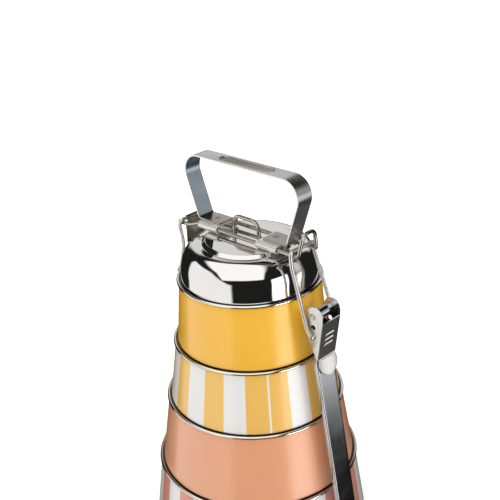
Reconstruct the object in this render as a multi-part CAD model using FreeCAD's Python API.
import FreeCAD, Part
import math
import os

# Tiffin carrier: four stacked bowls that widen downwards, a lid, a bent-wire
# handle frame on top and a cradle of two side straps, with a draw latch on the right.
# Millimetres. +Z up, origin on the resting plane at the centre of the base.
# X runs along the handle: left strap at -X, right strap at +X.
# Y runs from front (near, -Y) to back (far, +Y).
# Names ending in DZ, and levels in tables, are heights from the topmost rim.

V = FreeCAD.Vector
UP = V(0, 0, 1)

# ---------------------------------------------------------------- dimensions
Z_LID = 217.5            # height of the topmost rim above the resting plane
GAP = 0.05               # resting gap between stacked pieces
FIT = 0.03               # radial clearance of close-fitting round parts
JOINT_GAP = 0.02         # gap between sheets that are joined flat

# bowls and their rims, from the top
RIM_R = [54.3, 60.2, 68.7, 79.1]           # outer radius of the rolled bead
RIM_DZ = [0.0, -49.9, -98.0, -154.2]       # crown of the bead
WALL_TOP_R = [52.6, 58.5, 67.2, 77.5]      # wall radius under the rim
WALL_BOTTOM_R = [56.7, 65.5, 75.9, 85.7]   # wall radius at the bottom
BEAD_R = 2.3 / 2
LEDGE_DROP = 0.9         # from the bead's crown down to the flat ledge
SHEET = 0.8              # bowl wall and ledge
EDGE_R = 1.8             # rounded lower edge of a wall
PLUG_DEPTH = 3.6         # how far a bowl drops into the one below
PLUG_GAP = 0.5           # radial gap between plug and ledge

# lid
LID_WALL_R = 51.2
LID_T = 0.8
LID_PLUG_DEPTH = 3.0
LID_TOP_DZ = 28.4
# dome corners: radius, level, outer fillet, inner fillet
LID_DOME = [
    (0, LID_TOP_DZ, 0, 0), (31.4, LID_TOP_DZ, 1.0, 0.4), (34.0, 26.0, 1.4, 2.0),
    (43.36, 25.49, 10.9, 10.1), (49.54, 14.8, 29.6, 28.8),
]
LOOP_X = -1.6            # the loop stands slightly off centre
LOOP_FOOT = 12.9         # half spread of the loop at its feet
LOOP_SHOULDER = 12.2     # and at its upper corners
LOOP_TOP_DZ = 42.6
LOOP_BEND = 7.2
LOOP_R = 1.45

# base plate and rivets
BASE_Z = 2.4             # underside of the base plate's flat zones
BASE_R = 84.5
BASE_T = 1.0
RIVET_R = 2.0
RIVET_X = (71.5, 79.5)
RIVET_HEAD_R = 3.6
RIVET_HEAD_H = 0.85

# straps
STRAP_X0 = 63.15         # outer face at the height Z_LID
STRAP_SLOPE = 0.1665     # mm outwards per mm down
STRAP_T = 1.2
STRAP_HALF = 9.1         # half width
STRAP_FOOT_X = 66.8      # inner end of the foot under the base plate
STRAP_FOOT_Z = BASE_Z - STRAP_T - JOINT_GAP
NECK_HALF = 8.5          # half width of the upper part
NECK_DZ = -44.0
NECK_TAPER = 2.0
FLANGE = 3.4             # width of the folded edges
FLANGE_T = 1.0
BARREL_R = 3.9
PIVOT = (68.0, -10.0)    # lever pin: x, level
PIN_R = 2.4
HINGE = (66.9, -14.0)    # curl of the left strap: x (mirrored), level
HINGE_R = 2.8

# lever
EAR_IN, EAR_OUT = 8.8, 9.8
LEVER_T = 1.0
LEVER_TOP = (76.9, -13.6)     # top edge of the plate, outer face: x, level
LEVER_FOLD = (72.3, -43.0)    # fold between plate and disc, outer face: x, level
HOLE_PITCH = 8.0
MIDDLE_HOLE = (PIVOT[0] + 0.25, PIVOT[1] - HOLE_PITCH - 0.2)
MIDDLE_HOLE_R = 1.9
BAIL_HOLE = (68.5, PIVOT[1] - 2 * HOLE_PITCH)
RIB_PLACES = (0.36, 0.50, 0.64)   # share of the plate's length from its top edge
# rib section: distance down the plate, distance out of it
RIB_SECTION = [(-0.9, -0.3), (-0.54, 0.45), (0.54, 0.45), (0.9, -0.3)]
RIB_HALF = 4.6
DISC_R = 9.7
DISC_FLARE = 0.10        # slope added to the strap's
DISC_DROP = 5.0          # from the fold down to the disc's centre

# bails: half widths are over the wire centres
BAIL_R = 1.4
BAIL_LOW, BAIL_TOP = 11.8, 12.4
LEFT_CROSSBAR = (58.6, 30.92)     # x (mirrored), level

# frame wire: two rods along X, joined by an arch at the right end
ROD_R = 1.5
ROD_Y = 9.3
ROD_DZ = 31.7
# left end of each rod, with its dip: x, level, bend radius
ROD_END = [(-62.9, 29.7, 0), (-61.4, 27.7, 2.0), (-50.5, 28.7, 6.0), (-42.5, ROD_DZ, 5.0)]
# arch, from the near rod to the far one: x, y, level, bend radius
ARCH = [
    (56.0, -ROD_Y, ROD_DZ, 3.2), (58.8, -7.7, 47.8, 6.4),
    (56.6, 7.2, 46.9, 6.4), (56.5, ROD_Y, ROD_DZ, 2.0),
]

# hook plate
HOOK_T = 0.9
HOOK_X = -55.95          # middle of the sheet
HOOK_LOW_DZ, HOOK_SHOULDER_DZ = 10.5, 26.55
HOOK_NECK_HALF = 7.3     # half width between the rods
HOOK_R = 1.97            # middle radius of the curl
HOOK_END = 86.0          # degrees, where the curl stops

# handle
SLEEVE_R = 2.85
CLIP_T = 1.0
CLIP_RIGHT = (18.2, 37.4)     # x range; the right clip sits nearer the middle
CLIP_LEFT = (-39.8, -20.6)
STRIP_HALF = 7.3         # half width
STRIP_T = 1.4
STRIP_END_X = 21.5       # ends of the strip, on the clips
STRIP_BOTTOM_X, STRIP_TOP_X = 43.4, 60.9
STRIP_TOP_DZ = 84.6
GROOVE_X = 20.0          # centres of the groove's round ends
GROOVE_R = 3.9
GROOVE_DEPTH = 0.55


# ------------------------------------------------------------------- helpers
def level(dz):
    """Z of a height measured from the topmost rim."""
    return Z_LID + dz


def filleted_edges(points, closed):
    """Edges of a polyline whose corners carry a radius: [(vector, radius)]."""
    count = len(points)
    corners = []                         # start, end, middle of the arc or None
    for i, (corner, radius) in enumerate(points):
        if (not closed and i in (0, count - 1)) or radius <= 0:
            corners.append((corner, corner, None))
            continue
        back = points[i - 1][0] - corner
        ahead = points[(i + 1) % count][0] - corner
        back.normalize()
        ahead.normalize()
        half = back.getAngle(ahead) / 2
        tangent = radius / math.tan(half)
        bisector = back + ahead
        bisector.normalize()
        middle = corner + bisector * (radius / math.sin(half) - radius)
        corners.append((corner + back * tangent, corner + ahead * tangent, middle))
    edges = []
    for i, (start, end, middle) in enumerate(corners):
        if middle is not None:
            edges.append(Part.Arc(start, middle, end).toShape())
        if i < count - 1 or closed:
            following = corners[(i + 1) % count][0]
            if (following - end).Length > 1e-6:
                edges.append(Part.LineSegment(end, following).toShape())
    return edges


def profile_face(points, y=0):
    """Face at y, parallel to XZ, of a closed (x, z[, fillet]) outline."""
    corners = [(V(p[0], y, p[1]), p[2] if len(p) > 2 else 0) for p in points]
    return Part.Face(Part.Wire(Part.__sortEdges__(filleted_edges(corners, True))))


def as_solid(shape):
    """Unwrap a lone solid and turn it the right way out."""
    if shape.ShapeType != "Solid" and len(shape.Solids) == 1:
        shape = shape.Solids[0]
    if shape.ShapeType == "Solid" and shape.Volume < 0:
        shape.reverse()
    return shape


def revolve(points):
    """Solid of revolution about Z of a closed (radius, z[, fillet]) outline."""
    return as_solid(profile_face(points).revolve(V(0, 0, 0), UP, 360))


def slab(points, y0, y1):
    """A closed (x, z[, fillet]) outline extruded from y0 to y1."""
    return as_solid(profile_face(points, y0).extrude(V(0, y1 - y0, 0)))


def bent_wire(points, radius):
    """Round wire bent along corner points [(x, y, z, bend radius)]."""
    corners = [(V(x, y, z), bend) for x, y, z, bend in points]
    path = Part.Wire(filleted_edges(corners, False))
    start = corners[0][0]
    section = Part.Wire(Part.makeCircle(radius, start, corners[1][0] - start))
    return as_solid(path.makePipeShell([section], True, False))


def cylinder_y(radius, x, z, half):
    return Part.makeCylinder(radius, 2 * half, V(x, -half, z), V(0, 1, 0))


def save(name, shape):
    shape.exportStep("parts/%s.step" % name)


# --------------------------------------------------------------------- bowls
def ledge_z(i):
    return level(RIM_DZ[i]) - LEDGE_DROP


def ledge_inner_r(i):
    """Inner radius of the ledge of rim i, sized for the piece resting on it."""
    resting_r = LID_WALL_R if i == 0 else WALL_BOTTOM_R[i - 1]
    return resting_r - EDGE_R - 1.0


def bead(i, clearance=0):
    z = level(RIM_DZ[i]) - BEAD_R
    return Part.makeTorus(RIM_R[i] - BEAD_R, BEAD_R + clearance, V(0, 0, z), UP)


def bowl_rim(i):
    """A ledge with a rolled bead round its outside."""
    inner_r = ledge_inner_r(i)
    outer_r = RIM_R[i] - BEAD_R
    z = ledge_z(i)
    ledge = revolve([(inner_r, z - SHEET, 0.35), (inner_r, z, 0.35),
                     (outer_r, z), (outer_r, z - SHEET)])
    return as_solid(bead(i).fuse(ledge).removeSplitter())


def bowl_shell(i):
    """Bowl i; all but the lowest have a plug that drops into the next rim."""
    top_z = ledge_z(i) - SHEET
    top_r, bottom_r = WALL_TOP_R[i], WALL_BOTTOM_R[i]
    if i < len(RIM_R) - 1:
        seat_z = ledge_z(i + 1) + GAP
        plug_r = ledge_inner_r(i + 1) - PLUG_GAP
        plug_low_r = plug_r - 0.4
        bottom_z = seat_z - PLUG_DEPTH
        outer = [(top_r, top_z), (bottom_r, seat_z, EDGE_R), (plug_r, seat_z, 0.4),
                 (plug_low_r, bottom_z, 1.6), (0, bottom_z)]
        inner = [(0, bottom_z + SHEET), (plug_low_r - SHEET, bottom_z + SHEET, 1.2),
                 (plug_r - SHEET, seat_z + SHEET, 0.5),
                 (bottom_r - SHEET - 0.2, seat_z + SHEET, 1.2), (top_r - SHEET, top_z)]
    else:
        bottom_z = BASE_Z + BASE_T + GAP
        outer = [(top_r, top_z), (bottom_r, bottom_z, 3.2), (0, bottom_z)]
        inner = [(0, bottom_z + SHEET), (bottom_r - SHEET, bottom_z + SHEET, 2.4),
                 (top_r - SHEET, top_z)]
    return as_solid(revolve(outer + inner).cut(bead(i, FIT)))


# ----------------------------------------------------------------------- lid
def inset(points, thickness):
    """Corners of an open outline, which runs outwards and down, moved inwards."""
    normals = []
    for (x0, z0), (x1, z1) in zip(points, points[1:]):
        length = math.hypot(x1 - x0, z1 - z0)
        normals.append((-(z1 - z0) / length, (x1 - x0) / length))
    moved = []
    for i, (x, z) in enumerate(points):
        ax, az = normals[max(i - 1, 0)]
        bx, bz = normals[min(i, len(normals) - 1)]
        scale = thickness / (1 + ax * bx + az * bz)
        moved.append((x - scale * (ax + bx), z - scale * (az + bz)))
    return moved


def lid_shell():
    seat_z = ledge_z(0) + GAP
    plug_r = ledge_inner_r(0) - PLUG_GAP
    plug_z = seat_z - LID_PLUG_DEPTH
    outer = [(r, level(dz), fillet) for r, dz, fillet, _ in LID_DOME]
    outer += [(LID_WALL_R, seat_z, EDGE_R - 0.6), (plug_r, seat_z, 0.3), (plug_r, plug_z)]
    dome = [(r, level(dz)) for r, dz, _, _ in LID_DOME] + [(LID_WALL_R, seat_z)]
    inner_dome = [(x, z, row[3]) for (x, z), row in zip(inset(dome, LID_T), LID_DOME)]
    inner = [(plug_r - LID_T, plug_z), (plug_r - LID_T, seat_z + LID_T, 0.6),
             (LID_WALL_R - LID_T - 0.3, seat_z + LID_T, 0.8)]
    return revolve(outer + inner + inner_dome[::-1])


def lid_loop():
    foot_z = level(LID_TOP_DZ) + 0.10
    top_z = level(LOOP_TOP_DZ)
    return bent_wire([(LOOP_X - LOOP_FOOT, 0, foot_z, 0),
                      (LOOP_X - LOOP_SHOULDER, 0, top_z, LOOP_BEND),
                      (LOOP_X + LOOP_SHOULDER, 0, top_z, LOOP_BEND),
                      (LOOP_X + LOOP_FOOT, 0, foot_z, 0)], LOOP_R)


# ---------------------------------------------------------------------- base
def rivet_bore(x):
    return Part.makeCylinder(RIVET_R + FIT, 8, V(x, 0, -1), UP)


def base_plate():
    """Flat disc with a pressed ring that reaches down to the resting plane."""
    low, high = BASE_Z, BASE_Z + BASE_T
    under = [(0, low), (56.0, low, 1.0), (58.0, 0, 1.2), (64.0, 0, 1.2),
             (66.0, low, 1.0), (BASE_R, low, 0.3)]
    upper = [(BASE_R, high, 0.3), (65.4, high, 0.8), (63.4, BASE_T, 0.8),
             (58.6, BASE_T, 0.8), (56.6, high, 0.8), (0, high)]
    plate = revolve(under + upper)
    for x in RIVET_X:
        for side in (-1, 1):
            plate = plate.cut(rivet_bore(side * x))
    return as_solid(plate)


def rivet(x):
    foot_z = STRAP_FOOT_Z
    shank = Part.makeCylinder(RIVET_R, BASE_Z + BASE_T - 0.03 - foot_z, V(x, 0, foot_z), UP)
    head_z = foot_z - JOINT_GAP - RIVET_HEAD_H
    head = Part.makeCylinder(RIVET_HEAD_R, RIVET_HEAD_H, V(x, 0, head_z), UP)
    # bridges the gap between shank and head
    neck = Part.makeCylinder(RIVET_R, 0.1, V(x, 0, foot_z - 0.05), UP)
    lower_rim = [e for e in head.Edges
                 if e.Vertexes[0].Z < foot_z - 0.8 and len(e.Vertexes) == 1]
    head = head.makeFillet(0.4, lower_rim)
    return as_solid(shank.fuse(neck).fuse(head).removeSplitter())


def base_rivets():
    return Part.makeCompound([rivet(side * x) for side in (-1, 1) for x in RIVET_X])


# -------------------------------------------------------------------- straps
def strap_x(z):
    """Outer face of a strap at height z."""
    return STRAP_X0 - STRAP_SLOPE * (z - Z_LID)


def strap(pivot, barrel_r, bore_r):
    """Strap on the +X side: channel section below, plain neck and rolled barrel above."""
    pivot_z = level(pivot[1])
    top_z = pivot_z + 0.5
    low, high = STRAP_FOOT_Z, STRAP_FOOT_Z + STRAP_T
    outer = [(STRAP_FOOT_X, low), (strap_x(low), low, 5.0), (strap_x(top_z), top_z)]
    inner = [(strap_x(top_z) - STRAP_T, top_z), (strap_x(high) - STRAP_T, high, 3.8),
             (STRAP_FOOT_X, high)]
    body = slab(outer + inner, -STRAP_HALF, STRAP_HALF)

    # the neck is narrower, with a short taper
    neck_z = level(NECK_DZ)
    taper_z = neck_z - NECK_TAPER
    clear_y, clear_z = STRAP_HALF + 5, pivot_z + 8
    beside_neck = [(NECK_HALF, clear_z), (NECK_HALF, neck_z), (STRAP_HALF, taper_z),
                   (clear_y, taper_z), (clear_y, clear_z), (NECK_HALF, clear_z)]
    for side in (-1, 1):
        polygon = Part.makePolygon([V(50, side * y, z) for y, z in beside_neck])
        body = body.cut(Part.Face(polygon).extrude(V(40, 0, 0)))

    # folded edges
    z0, z1 = 11.0, neck_z - 2.5
    flange = [(strap_x(z0) - 0.05, z0), (strap_x(z1) - 0.05, z1),
              (strap_x(z1) - FLANGE, z1 - 1.5, 1.5), (strap_x(z0) - FLANGE, z0 + 3.0, 2.0)]
    body = body.fuse(slab(flange, -STRAP_HALF, -STRAP_HALF + FLANGE_T))
    body = body.fuse(slab(flange, STRAP_HALF - FLANGE_T, STRAP_HALF))

    # barrel round the lever pin, or round the ends of the left bail
    body = body.fuse(cylinder_y(barrel_r, pivot[0], pivot_z, NECK_HALF))
    body = body.cut(cylinder_y(bore_r, pivot[0], pivot_z, 12))
    for x in RIVET_X:
        body = body.cut(rivet_bore(x))
    return as_solid(body.removeSplitter())


def strap_right():
    return strap(PIVOT, BARREL_R, PIN_R + 0.06)


def strap_left():
    right = strap(HINGE, HINGE_R, BAIL_R + 0.1)
    return as_solid(right.mirror(V(0, 0, 0), V(1, 0, 0)))


# --------------------------------------------------------------------- lever
def unit(x, z):
    length = math.hypot(x, z)
    return x / length, z / length


def on_sheet(origin, down, distance, out):
    """(x, z) at a distance down a sheet from its origin and out of its outer face."""
    return (origin[0] + down[0] * distance - down[1] * out,
            level(origin[1] + down[1] * distance + down[0] * out))


def lever():
    """Right-hand draw-latch lever: two ears, an outer plate and a thumb disc."""
    top_x, top_dz = LEVER_TOP
    fold_x, fold_dz = LEVER_FOLD
    ear = [(62.8, level(-2.0), 6.9), (77.2, level(-2.0), 6.9), (top_x, level(top_dz), 2.0),
           (fold_x, level(fold_dz), 0.8), (fold_x - 1.6, level(fold_dz - 0.4), 0.6),
           (63.6, level(-29.0), 4.0)]
    body = slab(ear, -EAR_OUT, -EAR_IN).fuse(slab(ear, EAR_IN, EAR_OUT))

    length = math.hypot(top_x - fold_x, top_dz - fold_dz)
    down = unit(fold_x - top_x, fold_dz - top_dz)
    corners = [(0, 0), (length, 0), (length, -LEVER_T), (0, -LEVER_T)]
    plate = [on_sheet(LEVER_TOP, down, along, out) for along, out in corners]
    body = body.fuse(slab(plate, -EAR_OUT + 0.2, EAR_OUT - 0.2))

    # pressed ribs across the plate
    for place in RIB_PLACES:
        rib = [on_sheet(LEVER_TOP, down, length * place + along, out)
               for along, out in RIB_SECTION]
        body = body.fuse(slab(rib, -RIB_HALF, RIB_HALF))

    # thumb disc, flared a little away from the strap and cut off at the fold
    down = unit(STRAP_SLOPE + DISC_FLARE, -1.0)
    x, z = on_sheet(LEVER_FOLD, down, DISC_DROP, -LEVER_T)
    disc = Part.makeCylinder(DISC_R, LEVER_T, V(x, 0, z), V(-down[1], 0, down[0]))
    below_fold = Part.makeBox(40, 40, 40, V(50, -20, level(fold_dz) - 40 + 0.25))
    body = body.fuse(disc.common(below_fold))

    # a small web closes the fold between the two sheets
    web = [(fold_x, level(fold_dz + 0.6)), on_sheet(LEVER_FOLD, down, 0.9, 0),
           on_sheet(LEVER_FOLD, down, 0.9, -LEVER_T), (fold_x - 1.1, level(fold_dz + 0.7))]
    body = body.fuse(slab(web, -8.3, 8.3))

    # three holes in each ear: pin, middle, bail
    for (x, dz), radius in ((PIVOT, PIN_R + FIT), (MIDDLE_HOLE, MIDDLE_HOLE_R),
                            (BAIL_HOLE, BAIL_R + 0.06)):
        body = body.cut(cylinder_y(radius, x, level(dz), 14))
    return as_solid(body.removeSplitter())


def lever_pin():
    pin = cylinder_y(PIN_R, PIVOT[0], level(PIVOT[1]), EAR_OUT + 0.1)
    return as_solid(pin.makeFillet(0.35, [e for e in pin.Edges if len(e.Vertexes) == 1]))


# --------------------------------------------------------------------- bails
def bail(side, pivot, end_y, near, far):
    """Wire from the near inturned end, over the crossbar, to the far one.

    side is the sign of X; legs are [(x, level, bend radius)] from the bottom up.
    """
    def half(y_side, leg):
        points = [(*pivot, 0, end_y), (*pivot, 1.8, BAIL_LOW)]
        points += [(*leg[0], BAIL_LOW)] + [(*corner, BAIL_TOP) for corner in leg[1:]]
        return [(side * x, y_side * y, level(dz), bend) for x, dz, bend, y in points]
    return bent_wire(half(-1, near) + half(1, far)[::-1], BAIL_R)


def bail_right():
    """Latch bail; its far leg is bowed outwards more than the near one."""
    x, dz = BAIL_HOLE
    top = (51.5, ROD_DZ + ROD_R + BAIL_R + 0.37, 2.3)
    near = [(x - 4.2, dz + 5.5, 3.0), (52.2, 24.0, 6.0), top]
    far = [(69.4, -17.5, 3.0), (52.1, 27.4, 3.5), top]
    return bail(1, BAIL_HOLE, 8.65, near, far)


def bail_left():
    """Plain bail hinged in the curl of the left strap."""
    leg = [(62.6, -8.0, 3.0), (57.4, 9.0, 8.0), (57.6, 17.0, 6.0), (59.8, 25.5, 2.0),
           (*LEFT_CROSSBAR, 2.3)]
    return bail(-1, HINGE, 4.0, leg, leg)


# --------------------------------------------------------------------- frame
def frame_wire():
    near = [(x, -ROD_Y, level(dz), bend) for x, dz, bend in ROD_END]
    far = [(x, -y, z, bend) for x, y, z, bend in reversed(near)]
    arch = [(x, y, level(dz), bend) for x, y, dz, bend in ARCH]
    return bent_wire(near + arch + far, ROD_R)


def hook_plate():
    """Sheet under the left rod ends; its neck curls over the left bail's crossbar."""
    x0, x1 = HOOK_X - HOOK_T / 2, HOOK_X + HOOK_T / 2
    z0, z1 = level(HOOK_LOW_DZ), level(HOOK_SHOULDER_DZ)
    corners = [(V(x0, -ROD_Y, z0), 2.0), (V(x0, ROD_Y, z0), 2.0),
               (V(x0, ROD_Y, z1), 0.6), (V(x0, -ROD_Y, z1), 0.6)]
    plate = Part.Face(Part.Wire(filleted_edges(corners, True))).extrude(V(HOOK_T, 0, 0))

    def on_curl(radius, degrees):
        angle = math.radians(degrees)
        return V(-LEFT_CROSSBAR[0] + radius * math.cos(angle), -HOOK_NECK_HALF,
                 level(LEFT_CROSSBAR[1]) + radius * math.sin(angle))

    inner = [on_curl(HOOK_R - HOOK_T / 2, a) for a in (0, HOOK_END / 2, HOOK_END)]
    outer = [on_curl(HOOK_R + HOOK_T / 2, a) for a in (0, HOOK_END / 2, HOOK_END)]
    foot0, foot1 = [V(x, -HOOK_NECK_HALF, z1 - 1.5) for x in (x0, x1)]
    curves = [Part.LineSegment(foot0, foot1), Part.LineSegment(foot1, outer[0]),
              Part.Arc(*outer), Part.LineSegment(outer[2], inner[2]),
              Part.Arc(*inner[::-1]), Part.LineSegment(inner[0], foot0)]
    section = Part.Face(Part.Wire([curve.toShape() for curve in curves]))
    neck = section.extrude(V(0, 2 * HOOK_NECK_HALF, 0))
    return as_solid(plate.fuse(neck).removeSplitter())


# -------------------------------------------------------------------- handle
def handle_clip(x0, x1):
    """Two sleeves on the rods, joined by a flat plate at their tops."""
    z = level(ROD_DZ)
    length = x1 - x0
    near, far = [Part.makeCylinder(SLEEVE_R, length, V(x0, y, z), V(1, 0, 0))
                 for y in (-ROD_Y, ROD_Y)]
    plate = Part.makeBox(length, 2 * ROD_Y, CLIP_T, V(x0, -ROD_Y, z + SLEEVE_R - CLIP_T))
    body = near.fuse(far).fuse(plate)
    for y in (-ROD_Y, ROD_Y):
        bore = Part.makeCylinder(ROD_R + FIT, length + 4, V(x0 - 2, y, z), V(1, 0, 0))
        body = body.cut(bore)
    return as_solid(body.removeSplitter())


def handle_strip():
    """Flat strip bent into a grip that widens upwards, with a groove along its top."""
    z0 = level(ROD_DZ) + SLEEVE_R + JOINT_GAP
    z1 = level(STRIP_TOP_DZ)
    # inner corners: offset by the strip thickness from the sloping sides
    slope = (STRIP_TOP_X - STRIP_BOTTOM_X) / (z1 - z0)
    side_t = STRIP_T * math.hypot(1, slope)
    bottom_x = STRIP_BOTTOM_X + slope * STRIP_T - side_t
    top_x = STRIP_TOP_X - slope * STRIP_T - side_t
    outer = [(STRIP_END_X, z0, 0), (STRIP_BOTTOM_X, z0, 3.2), (STRIP_TOP_X, z1, 14.0)]
    inner = [(STRIP_END_X, z0 + STRIP_T, 0), (bottom_x, z0 + STRIP_T, 1.8),
             (top_x, z1 - STRIP_T, 12.6)]
    outer += [(-x, z, fillet) for x, z, fillet in reversed(outer)]
    inner = [(-x, z, fillet) for x, z, fillet in inner] + inner[::-1]
    body = slab(outer + inner, -STRIP_HALF, STRIP_HALF)

    groove_z = z1 - GROOVE_DEPTH
    groove = Part.makeBox(2 * GROOVE_X, 2 * GROOVE_R, 2, V(-GROOVE_X, -GROOVE_R, groove_z))
    for x in (-GROOVE_X, GROOVE_X):
        groove = groove.fuse(Part.makeCylinder(GROOVE_R, 2, V(x, 0, groove_z), UP))
    return as_solid(body.cut(groove).removeSplitter())


# ---------------------------------------------------------------------- save
os.makedirs("parts", exist_ok=True)

save("base_plate", base_plate())
save("base_rivets", base_rivets())
save("strap_right", strap_right())
save("strap_left", strap_left())
save("lever_right", lever())
save("lever_pin_right", lever_pin())
save("bail_right", bail_right())
save("bail_left", bail_left())
save("frame_wire", frame_wire())
save("hook_plate", hook_plate())
save("handle_clip_right", handle_clip(*CLIP_RIGHT))
save("handle_clip_left", handle_clip(*CLIP_LEFT))
save("handle_strip", handle_strip())
save("lid_shell", lid_shell())
save("lid_loop", lid_loop())
for i in range(len(RIM_R)):
    save("bowl_%d_shell" % (i + 1), bowl_shell(i))
    save("bowl_%d_rim" % (i + 1), bowl_rim(i))
